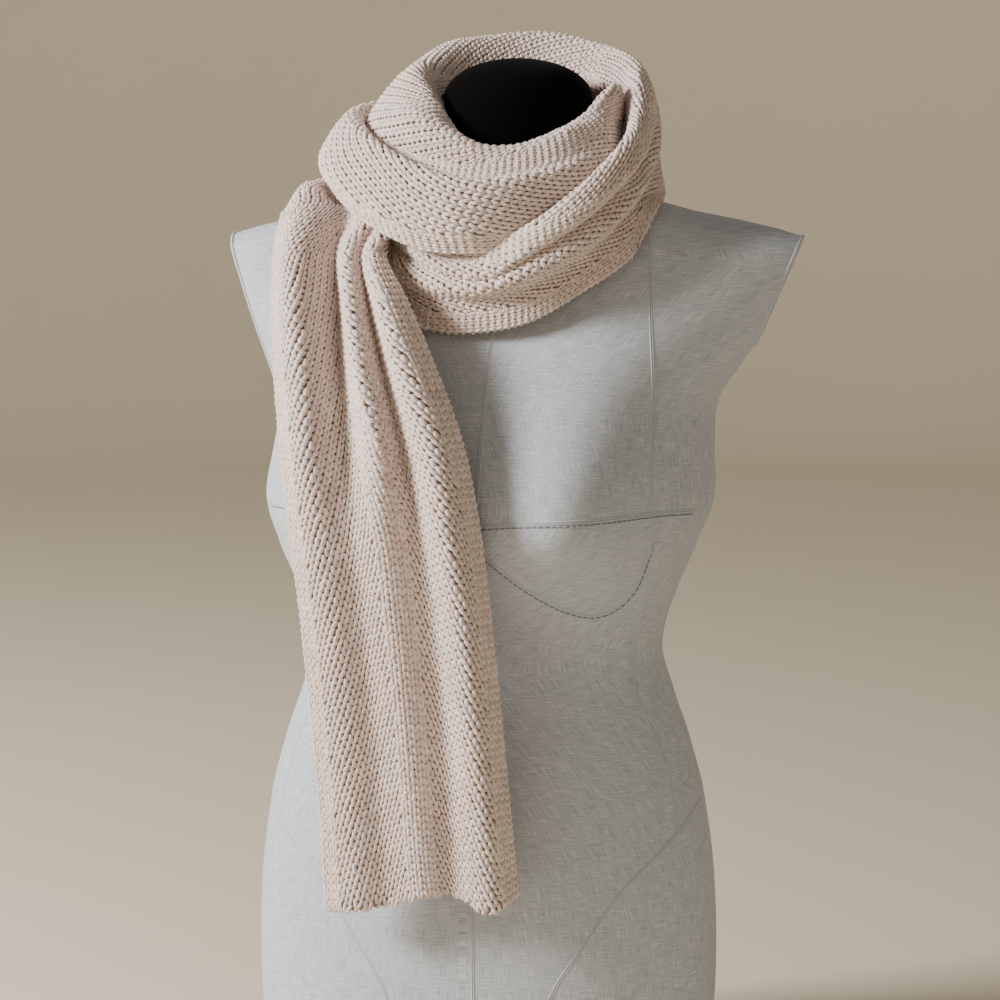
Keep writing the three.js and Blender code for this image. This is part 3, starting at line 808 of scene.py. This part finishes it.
class ScarfSettings(bpy.types.PropertyGroup):
    """Sizes and colours of the knitted band."""

    stitch_width: length_setting("Stitch width", "Width of a stitch of the slanting panels", 0.0066)
    straight_width: length_setting(
        "Straight stitch width", "Width of a stitch of the straight wales", 0.0052)
    row_height: length_setting("Row height", "Height of one row of stitches", 0.0053)
    slant: bpy.props.FloatProperty(
        name="Panel slant", description="How far the wales of the two side panels slant",
        default=math.radians(20), subtype="ANGLE")
    seed: bpy.props.IntProperty(
        name="Seed", description="Starts the stitches' small differences", default=7)
    face: colour_setting("Yarn", "The yarn where it catches the light", "#EFE0DA")
    # Painted shade: this darker yarn colour stands low between the stitches and between the purl bumps.
    deep_shade: colour_setting("Yarn, deep", "The yarn between the stitches", "#C4A89E")
    blush: colour_setting("Yarn, blush", "The pinker patches of the dye", "#ECD4CC")
    ground: colour_setting("Purl side", "The back of the fabric", "#E2D2C9")
    # Painted shade: this dark colour is given to the outside of the knit's ground, seen between the
    # stitches.
    gap: colour_setting("Between stitches", "The shade deep between the stitches", "#A88B80")


class FormSettings(bpy.types.PropertyGroup):
    """Sizes and colours of the dress form."""

    ring_step: length_setting("Ring step", "Height of one ring of the torso's mesh", 0.006)
    seam_width: length_setting("Seam width", "Width of a sewn seam's two folded edges", 0.0016)
    thread: colour_setting("Linen thread", "The linen's pale threads", "#DFE2E7")
    # Painted shade: the topstitch dashes are thread, coloured this dark blue-grey as the shade in their
    # stitch holes.
    topstitch_shade: colour_setting("Topstitch", "The thread of the dashed seams", "#7C8596")
    shade: colour_setting("Linen shade", "The linen between its threads", "#9AA4B4")


class StudioSettings(bpy.types.PropertyGroup):
    """Floor, lights and camera."""

    floor: colour_setting("Floor", "Colour of the studio floor and wall", "#E3D8C2")
    air: colour_setting("Air", "Colour of the light from all round", "#F4F0EA")
    air_strength: bpy.props.FloatProperty(
        name="Air strength", description="Strength of the light from all round", default=0.22, min=0.0)
    key_power: bpy.props.FloatProperty(
        name="Key light", description="Power of the window-like light on the left", default=180.0,
        subtype="POWER", unit="POWER")
    fill_power: bpy.props.FloatProperty(
        name="Fill light", description="Power of the soft light on the right", default=1.0,
        subtype="POWER", unit="POWER")
    azimuth: bpy.props.FloatProperty(
        name="Camera azimuth", description="Camera's turn from the front towards the right",
        default=math.radians(8), subtype="ANGLE")
    elevation: bpy.props.FloatProperty(
        name="Camera elevation", description="Camera's height above level", default=math.radians(8),
        subtype="ANGLE")


SETTINGS = {"knit_scarf": ScarfSettings, "dress_form": FormSettings, "scarf_studio": StudioSettings}


# ------------------------------------------------------------------ the dress form's pieces

TORSO_COLUMNS = 220
ON_PLANE = 0.01                # how near the cut a point counts as on it
PIPING_RADIUS, PIPING_SIDES, PIPING_STEPS = 1.2, 8, 260


def arm_plane(side):
    """A point of the flat arm plate and its outward normal."""
    tilt = math.atan(ARM_PLATE_SLOPES[side])
    point = Vector((lean(ARM_PLATE_Z) + side * ARM_PLATE_X, 0, ARM_PLATE_Z)) * MM
    return point, Vector((side * math.cos(tilt), 0, -math.sin(tilt)))


def torso_mesh(settings):
    """The torso: smooth rings, a flat bottom, and both arm stumps cut flat."""
    top = FORM_RINGS[-1][0]
    rings = int(top / (settings.ring_step / MM)) + 1
    heights = np.linspace(0, top, rings)
    angles = np.linspace(0, 2 * np.pi, TORSO_COLUMNS, endpoint=False)
    points = form_point(heights[:, None], angles[None, :])
    gaps = np.linalg.norm(np.diff(points, axis=1), axis=2)
    around = np.concatenate([np.zeros((rings, 1)), np.cumsum(gaps, 1)], 1)
    around = np.abs(around - around[:, -1:] / 2)
    flat = np.stack([around, np.broadcast_to(heights[:, None], around.shape), 0 * around], -1)
    wall = grid_faces(rings, TORSO_COLUMNS, closed=True)
    mesh = new_mesh("torso_linen", points.reshape(-1, 3), wall, {"cloth": flat.reshape(-1, 3)})
    body = bmesh.new()
    body.from_mesh(mesh)
    loops = []
    for side in (LEFT, RIGHT):
        point, outward = arm_plane(side)
        up = Vector((-side * outward.z, 0, abs(outward.x)))
        lowest = -ARM_PLATE_DOWN * MM
        faces = [f for f in body.faces if min((v.co - point).dot(up) for v in f.verts) > lowest]
        edges = dict.fromkeys(e for f in faces for e in f.edges)
        verts = dict.fromkeys(v for f in faces for v in f.verts)
        bmesh.ops.bisect_plane(
            body, geom=[*verts, *edges, *faces], plane_co=point, plane_no=outward, clear_outer=True)
        rim = [v for v in body.verts if abs((v.co - point).dot(outward)) < ON_PLANE * MM
               and v.is_boundary and (v.co - point).dot(up) > lowest]
        if not rim:
            raise RuntimeError("the arm plate's plane misses the torso")
        loops.append(ordered_loop(rim, up))
    bmesh.ops.holes_fill(body, edges=[e for e in body.edges if e.is_boundary], sides=0)
    bmesh.ops.recalc_face_normals(body, faces=body.faces[:])
    for face in body.faces:
        if len(face.verts) > 4:
            face.smooth = False
            face.material_index = 1
            for edge in face.edges:
                edge.smooth = False
    body.to_mesh(mesh)
    body.free()
    return mesh, loops


def ordered_loop(verts, up):
    """The points of one plate's edge in order round its middle, in millimetres."""
    points = np.array([v.co for v in verts]) / MM
    away = points - points.mean(axis=0)
    return points[np.argsort(np.arctan2(away @ np.array(up), away[:, 1]))]


def swept(path, profile, upward, closed=False):
    """A closed profile (across, up) swept along a path whose surface has these upward normals."""
    forward = np.roll(path, -1, 0) - np.roll(path, 1, 0) if closed else np.gradient(path, axis=0)
    forward /= np.linalg.norm(forward, axis=1, keepdims=True)
    sideways = np.cross(forward, upward)
    sideways /= np.linalg.norm(sideways, axis=1, keepdims=True)
    upward = np.cross(sideways, forward)
    profile = np.asarray(profile, float)
    beside = sideways[:, None] * profile[None, :, :1]
    points = path[:, None] + beside + upward[:, None] * profile[None, :, 1:]
    rows, columns = len(path), len(profile)
    if closed:
        wrapped = grid_faces(rows + 1, columns, closed=True) % (rows * columns)
        return points.reshape(-1, 3), triangles(wrapped)
    around = np.arange(columns)
    after = (around + 1) % columns
    first = np.full(columns, rows * columns)
    far = (rows - 1) * columns
    caps = (np.stack([first, after, around], -1), np.stack([first + 1, around + far, after + far], -1))
    points = np.concatenate([points.reshape(-1, 3), path[[0, -1]]])
    return points, np.concatenate([triangles(grid_faces(rows, columns, closed=True)), *caps])


def round_profile(sides, radius):
    """The corners of a cord's or thread's cross-section."""
    turn = np.arange(sides) / sides * 2 * np.pi
    return np.stack([np.cos(turn), np.sin(turn)], -1) * radius


def plate_piping(loop, side):
    """A cord round the edge of one arm plate."""
    ring = np.concatenate([loop, loop[:1]])
    run = run_along(ring)
    at = np.linspace(0, run[-1], PIPING_STEPS, endpoint=False)
    path = np.stack([np.interp(at, run, ring[:, k]) for k in range(3)], -1)
    outward = np.broadcast_to(np.array(arm_plane(side)[1]), path.shape)
    return swept(path, round_profile(PIPING_SIDES, PIPING_RADIUS), outward, closed=True)


# Seams of the form's front cover: x from the form's own middle, and height.
CENTRE_SEAM = ((4, 640), (1, 563), (8, 470), (8, 386), (5, 159), (6, 60), (6, 2))
RIGHT_SEAMS = (
    ((98, 640), (106, 590), (119, 510), (126, 424)),
    ((126, 424), (117, 372), (110, 338), (114, 310), (125, 285), (137, 250), (143, 215)),
    ((156, 230), (134, 205), (107, 179), (82, 143), (59, 106), (40, 50), (34, 2)),
)
STITCHED_SEAMS = (
    ((9, 439), (15, 441), (50, 445), (84, 446), (126, 446), (151, 443)),
    ((9, 424), (19, 416), (45, 394), (70, 378), (92, 374), (112, 389), (126, 424)),
)
STEPS_PER_KNOT = 14
# A seam's two folded edges: across in seam widths, and height in mm.
SEAM_PROFILE = (
    (-1, -0.5), (-0.7, 0.2), (-0.22, 0.35), (0, -0.5), (0.22, 0.35), (0.7, 0.2), (1, -0.5), (0, -1.0))
SEAM_LIFT = 0.1
DASH = dict(length=3.2, step=4.6, beside=2.6, radius=0.42, sides=5, lift=0.25)


def front_line(knots, lift):
    """A smooth line over the form's front through knots (x, z), and the surface's normals along it."""
    at = np.linspace(0, len(knots) - 1, (len(knots) - 1) * STEPS_PER_KNOT + 1)
    x, z = smooth(knots, at).T
    across = front_point(x + 1, z) - front_point(x - 1, z)
    upward = np.cross(across, front_point(x, z + 1) - front_point(x, z - 1))
    upward /= np.linalg.norm(upward, axis=1, keepdims=True)
    return front_point(x, z) + upward * lift, upward


def seam_strips(width):
    """The seams' folded edges as swept strips: points and faces of each."""
    profile = np.array(SEAM_PROFILE) * (width, 1)
    mirrored = [tuple((-x, z) for x, z in seam) for seam in RIGHT_SEAMS + STITCHED_SEAMS]
    lines = [CENTRE_SEAM, *RIGHT_SEAMS, *STITCHED_SEAMS, *mirrored]
    laid = (front_line(line, SEAM_LIFT) for line in lines)
    return [swept(path, profile, upward) for path, upward in laid]


def topstitches():
    """The dashes of thread beside the bust seams."""
    profile = round_profile(DASH["sides"], DASH["radius"])
    lumps = []
    for seam in STITCHED_SEAMS:
        for side in (RIGHT, LEFT):
            path, upward = front_line(tuple((side * x, z) for x, z in seam), DASH["lift"])
            run = run_along(path)
            forward = np.gradient(path, axis=0)
            beside = np.cross(forward, upward)
            beside *= side * DASH["beside"] / np.linalg.norm(beside, axis=1, keepdims=True)
            for start in np.arange(DASH["step"], run[-1] - DASH["step"], DASH["step"]):
                at = np.array([0, 0.5, 1]) * DASH["length"] + start
                spots, rises = (
                    np.stack([np.interp(at, run, grid[:, k]) for k in range(3)], -1)
                    for grid in (path + beside, upward))
                lumps.append(swept(spots, profile, rises))
    return lumps


CAP_CHAMFER, CAP_STEPS, CAP_SIDES = 1.5, 28, 128


def cap_mesh():
    """The neck cap: a low drum with a domed top."""
    turns = np.linspace(0, np.pi / 2, CAP_STEPS)[:-1]
    radii = [CAP_RADIUS - CAP_CHAMFER, CAP_RADIUS, *(CAP_RADIUS * np.cos(turns))]
    heights = [CAP_BOTTOM, CAP_BOTTOM + CAP_CHAMFER, *(CAP_WALL + CAP_DOME * np.sin(turns))]
    around = np.linspace(0, 2 * np.pi, CAP_SIDES, endpoint=False)
    rings = [np.stack([NECK_X + r * np.sin(around), -r * np.cos(around), z + 0 * around], -1)
             for r, z in zip(radii, heights)]
    points = np.concatenate([*rings, [(NECK_X, 0, CAP_BOTTOM), (NECK_X, 0, CAP_WALL + CAP_DOME)]])
    first = np.arange(CAP_SIDES)
    after = (first + 1) % CAP_SIDES
    last_ring = (len(rings) - 1) * CAP_SIDES
    middle = np.full(CAP_SIDES, len(rings) * CAP_SIDES)
    bottom = np.stack([middle, first, after], -1)
    top = np.stack([middle + 1, after + last_ring, first + last_ring], -1)
    wall = triangles(grid_faces(len(rings), CAP_SIDES, closed=True))
    return new_mesh("neck_cap_flocked", points, np.concatenate([wall, top, bottom])[:, ::-1])


# ------------------------------------------------------------------ the studio

# The studio: a floor that curves up all round, a large soft light at the left of the front and a
# weaker one at the right.
# Places and sizes here are in metres.
FLOOR_RADIUS, COVE_RADIUS, WALL_TOP = 3.6, 1.4, 3.2
COVE_STEPS, COVE_SIDES = 24, 160
KEY_SPOT, KEY_SIZE, KEY_COLOUR = (-2.45, -1.25, 1.75), 0.8, (1.0, 0.97, 0.93)
FILL_SPOT, FILL_SIZE, FILL_COLOUR = (2.2, -1.6, 1.0), 2.0, (0.95, 0.97, 1.0)
TARGET = (0.0, 0.0, 0.440)
CAMERA_DISTANCE = 2.2
CAMERA_LENS = 110.0


def cove_mesh():
    """A round floor whose rim curves up into a wall."""
    turns = np.linspace(0, np.pi / 2, COVE_STEPS)
    radii = [*(FLOOR_RADIUS + COVE_RADIUS * np.sin(turns)), FLOOR_RADIUS + COVE_RADIUS]
    heights = [*(COVE_RADIUS * (1 - np.cos(turns))), WALL_TOP]
    around = np.linspace(0, 2 * np.pi, COVE_SIDES, endpoint=False)
    rings = [np.stack([r * np.cos(around), r * np.sin(around), z + 0 * around], -1)
             for r, z in zip(radii, heights)]
    mesh = bpy.data.meshes.new("studio_floor")
    sides = grid_faces(len(rings), COVE_SIDES, closed=True).tolist()
    disc = list(range(COVE_SIDES))[::-1]
    mesh.from_pydata(np.concatenate(rings).tolist(), [], [*sides, disc])
    mesh.flip_normals()
    mesh.polygons.foreach_set("use_smooth", np.arange(len(mesh.polygons)) < len(sides))
    return mesh


def soft_light(context, name, spot, size, power, colour):
    """A square area light that faces the camera's target."""
    light = bpy.data.lights.new(name, "AREA")
    light.size = size
    light.energy = power
    light.color = colour
    lamp = bpy.data.objects.new(name, light)
    lamp.location = spot
    lamp.rotation_euler = (Vector(TARGET) - Vector(spot)).to_track_quat("-Z", "Y").to_euler()
    context.scene.collection.objects.link(lamp)


def aim_camera(context, settings):
    """The scene's camera, at its azimuth and elevation round the target."""
    az, el = settings.azimuth, settings.elevation
    back = Vector((math.sin(az) * math.cos(el), -math.cos(az) * math.cos(el), math.sin(el)))
    data = bpy.data.cameras.new("camera")
    data.lens = CAMERA_LENS
    camera = bpy.data.objects.new("camera", data)
    camera.location = Vector(TARGET) + back * CAMERA_DISTANCE
    camera.rotation_euler = back.to_track_quat("Z", "Y").to_euler()
    context.scene.collection.objects.link(camera)
    context.scene.camera = camera


# ------------------------------------------------------------------ the scarf's pieces

def material_called(name, make, *inputs):
    """The material of that name, made the first time it is asked for."""
    return bpy.data.materials.get(name) or make(name, *inputs)


def make_stretch(context, name):
    """The ground and the stitches of one stretch of the band."""
    settings = context.scene.knit_scarf
    colours = {key: getattr(settings, key) for key in ("face", "deep_shade", "blush", "ground", "gap")}
    stretch = STRETCHES[name]
    begin, end = section_run(stretch["first"]), section_run(stretch["last"])
    start = begin + (0 if stretch["loose"] == "first" else SEAM_GAP / 2)
    stop = end - (0 if stretch["loose"] == "last" else SEAM_GAP / 2)
    loose_ends = [at for at, which in ((begin, "first"), (end, "last")) if stretch["loose"] == which]
    sizes = {
        "stitch": settings.stitch_width / MM, "straight": settings.straight_width / MM,
        "row": settings.row_height / MM,
        "slant": settings.slant, "seed": settings.seed + list(STRETCHES).index(name)}
    ground = new_piece(
        name + "_ground", backing(name + "_ground", start, stop),
        material_called("chunky wool knit, purl side", wool_ground, colours), (name,))
    yarn = new_piece(
        name + "_stitches", stitches(name + "_stitches", begin, end, sizes, loose_ends),
        material_called("chunky spun wool yarn", wool_yarn, colours))


# ------------------------------------------------------------------ operators

class MakeStretch:
    """What the operators of the band's stretches share."""

    bl_options = {"REGISTER", "UNDO"}
    stretch = ""

    def execute(self, context):
        make_stretch(context, self.stretch)
        return {"FINISHED"}


class SCARF_OT_tail(MakeStretch, bpy.types.Operator):
    """Makes the tail that hangs down the front"""

    bl_idname = "scarf.tail"
    bl_label = "Tail"
    stretch = "tail"


class SCARF_OT_back_turn(MakeStretch, bpy.types.Operator):
    """Makes the innermost turn, over the shoulder and round the back"""

    bl_idname = "scarf.back_turn"
    bl_label = "Back turn"
    stretch = "back_turn"


class SCARF_OT_front_turn(MakeStretch, bpy.types.Operator):
    """Makes the turn round the front of the neck"""

    bl_idname = "scarf.front_turn"
    bl_label = "Front turn"
    stretch = "front_turn"


class SCARF_OT_collar_turn(MakeStretch, bpy.types.Operator):
    """Makes the outermost turn, which stands as a collar at the left and the back"""

    bl_idname = "scarf.collar_turn"
    bl_label = "Collar turn"
    stretch = "collar_turn"


class SCARF_OT_outer_turn(MakeStretch, bpy.types.Operator):
    """Makes the turn that comes down over the right shoulder and low across the chest"""

    bl_idname = "scarf.outer_turn"
    bl_label = "Outer turn"
    stretch = "outer_turn"


class SCARF_OT_tucked_end(MakeStretch, bpy.types.Operator):
    """Makes the far end, tucked in under the tail"""

    bl_idname = "scarf.tucked_end"
    bl_label = "Tucked end"
    stretch = "tucked_end"


class SCARF_OT_torso(bpy.types.Operator):
    """Makes the linen-covered torso with its seams, topstitching and arm plate piping"""

    bl_idname = "scarf.torso"
    bl_label = "Torso"
    bl_options = {"REGISTER", "UNDO"}

    def execute(self, context):
        settings = context.scene.dress_form
        colours = {"thread": settings.thread, "shade": settings.shade}
        cover = material_called("slubby linen cover", slubby_linen, colours, COVER_CLOTH)
        plate = material_called("slubby linen arm plate", slubby_linen, colours, PLATE_CLOTH)
        trim = material_called("cotton piping", cotton_trim, colours)
        # The dashes are coloured dark all over, as painted shade in their stitch holes.
        sewn = {"thread": settings.topstitch_shade, "shade": settings.topstitch_shade}
        thread = material_called("cotton sewing thread", cotton_trim, sewn)
        mesh, loops = torso_mesh(settings)
        new_piece("torso_linen", mesh, cover, ("torso",))
        mesh.materials.append(plate)
        seams = seam_strips(settings.seam_width / MM)
        new_piece("cover_seams", new_mesh("cover_seams", *merged(seams)), cover)
        dashes = merged(topstitches())
        new_piece("topstitching", new_mesh("topstitching", *dashes), thread)
        piping = merged([plate_piping(loop, side) for loop, side in zip(loops, (LEFT, RIGHT))])
        new_piece("arm_plate_piping", new_mesh("arm_plate_piping", *piping), trim)
        return {"FINISHED"}


class SCARF_OT_neck_cap(bpy.types.Operator):
    """Makes the black cap on the neck"""

    bl_idname = "scarf.neck_cap"
    bl_label = "Neck cap"
    bl_options = {"REGISTER", "UNDO"}

    def execute(self, context):
        skin = material_called("black flocked plastic", flocked_black)
        new_piece("neck_cap_flocked", cap_mesh(), skin, ("neck_cap",))
        return {"FINISHED"}


class SCARF_OT_studio(bpy.types.Operator):
    """Makes the studio floor with its round cove, the lights and the camera"""

    bl_idname = "scarf.studio"
    bl_label = "Studio"
    bl_options = {"REGISTER", "UNDO"}

    def execute(self, context):
        settings = context.scene.scarf_studio
        paint = material_called("matt painted studio floor", painted_floor, linear(settings.floor))
        floor = bpy.data.objects.new("studio_floor", cove_mesh())
        floor.data.materials.append(paint)
        context.scene.collection.objects.link(floor)
        soft_light(context, "key_light", KEY_SPOT, KEY_SIZE, settings.key_power, KEY_COLOUR)
        soft_light(context, "fill_light", FILL_SPOT, FILL_SIZE, settings.fill_power, FILL_COLOUR)
        world = bpy.data.worlds.new("studio_air")
        world.use_nodes = True
        sky = world.node_tree.nodes["Background"]
        sky.inputs["Color"].default_value = linear(settings.air)
        sky.inputs["Strength"].default_value = settings.air_strength
        context.scene.world = world
        aim_camera(context, settings)
        return {"FINISHED"}


# ------------------------------------------------------------------ panel and registration

PIECES = (
    SCARF_OT_torso, SCARF_OT_neck_cap, SCARF_OT_tail, SCARF_OT_back_turn, SCARF_OT_front_turn,
    SCARF_OT_collar_turn, SCARF_OT_outer_turn, SCARF_OT_tucked_end, SCARF_OT_studio,
)


class SCARF_PT_sidebar(bpy.types.Panel):
    """Sizes, colours and a button for every piece"""

    bl_idname = "SCARF_PT_sidebar"
    bl_label = "Knit scarf"
    bl_space_type = "VIEW_3D"
    bl_region_type = "UI"
    bl_category = "Scarf"

    def draw(self, context):
        layout = self.layout
        for key, group in SETTINGS.items():
            box = layout.box()
            for name in group.__annotations__:
                box.prop(getattr(context.scene, key), name)
        for piece in PIECES:
            layout.operator(piece.bl_idname)


CLASSES = (*SETTINGS.values(), *PIECES, SCARF_PT_sidebar)


def register():
    for each in CLASSES:
        bpy.utils.register_class(each)
    for key, group in SETTINGS.items():
        setattr(bpy.types.Scene, key, bpy.props.PointerProperty(type=group))


def unregister():
    for key in SETTINGS:
        delattr(bpy.types.Scene, key)
    for each in reversed(CLASSES):
        bpy.utils.unregister_class(each)


def main():
    """Registers the add-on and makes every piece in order."""
    register()
    for piece in PIECES:
        group, name = piece.bl_idname.split(".")
        if getattr(getattr(bpy.ops, group), name)() != {"FINISHED"}:
            raise RuntimeError(f"{piece.bl_label} was not made")


if __name__ == "__main__":
    main()
